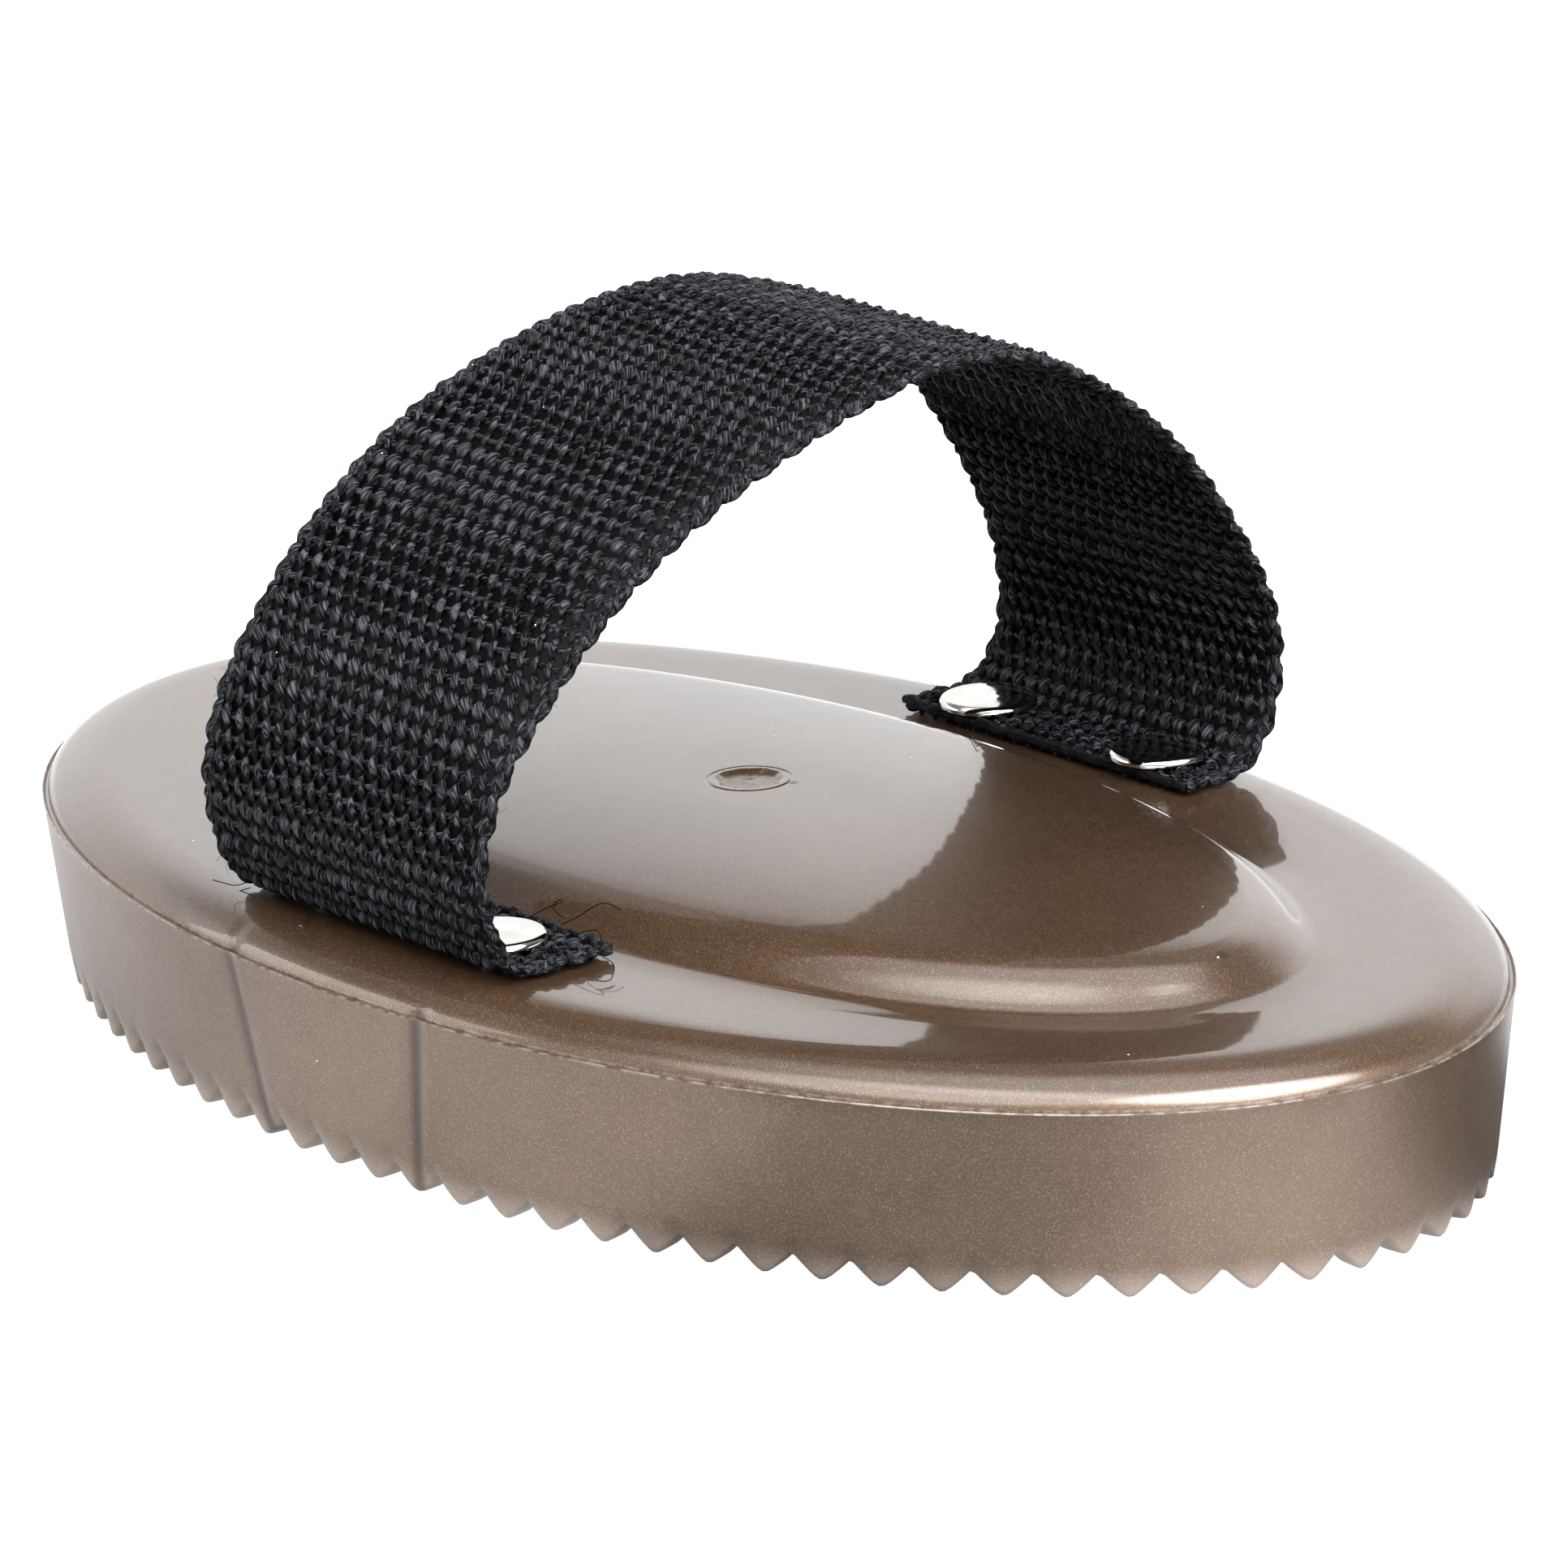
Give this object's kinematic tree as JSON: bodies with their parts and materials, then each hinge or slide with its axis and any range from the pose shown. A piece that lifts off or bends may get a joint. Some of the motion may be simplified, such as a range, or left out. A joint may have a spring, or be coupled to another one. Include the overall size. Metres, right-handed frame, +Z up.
{
  "type": "rubber curry brush",
  "caption": "Oval rubber grooming brush with a toothed rim, concentric toothed rings underneath and a riveted webbing hand strap.",
  "frame": {"origin": "centre of the overall box, on the plane of the tooth tips that the brush stands on", "axes": "+Z up out of the dome towards the strap, +X along the long axis of the oval, +Y across it along the strap"},
  "size_m": [0.1649, 0.096, 0.0651],
  "materials": {
    "bronze_rubber": "pearlescent bronze PVC rubber, glossy top and satin side wall",
    "black_webbing": "coarse plain-woven black webbing",
    "polished_nickel": "polished nickel plate"
  },
  "bodies": {
    "root": {"curry_body": "bronze_rubber", "hand_strap": "black_webbing", "rivet_front_left": "polished_nickel", "rivet_front_right": "polished_nickel", "rivet_rear_left": "polished_nickel", "rivet_rear_right": "polished_nickel", "socket_front_left": "polished_nickel", "socket_front_right": "polished_nickel", "socket_rear_left": "polished_nickel", "socket_rear_right": "polished_nickel"}
  },
  "joints": []
}
